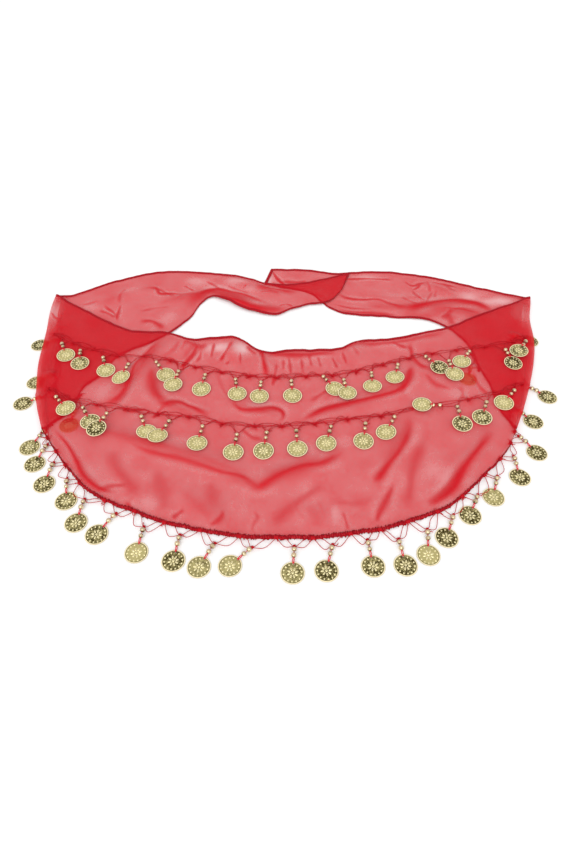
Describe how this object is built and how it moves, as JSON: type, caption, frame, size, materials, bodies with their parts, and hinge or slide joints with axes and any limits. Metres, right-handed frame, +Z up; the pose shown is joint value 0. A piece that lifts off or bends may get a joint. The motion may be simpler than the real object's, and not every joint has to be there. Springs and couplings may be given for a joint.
{
  "type": "belly dance hip scarf",
  "caption": "Sheer half-moon hip scarf laid flat, folded at both sides with its tie ends behind, hung with rows of stamped coins on thread chains.",
  "frame": {"origin": "bottom centre of the laid-out scarf, on the surface that it lies on", "axes": "+X along the scarf's length to its right fold, +Y from the coin hem to the tie ends, +Z up"},
  "size_m": [0.6489, 0.4868, 0.0093],
  "materials": {
    "chiffon": "sheer red polyester chiffon, soft sheen",
    "coin": "stamped gold tone coins with dark antique recesses",
    "thread": "crocheted red thread and overlocked edges"
  },
  "bodies": {
    "root": {"front_panel": "chiffon", "left_tie": "chiffon", "right_tie": "chiffon", "hem_coins": "coin", "upper_coins": "coin", "middle_coins": "coin", "left_turned_coins": "coin", "right_turned_coins": "coin", "left_hidden_coins": "coin", "right_hidden_coins": "coin"}
  },
  "joints": []
}
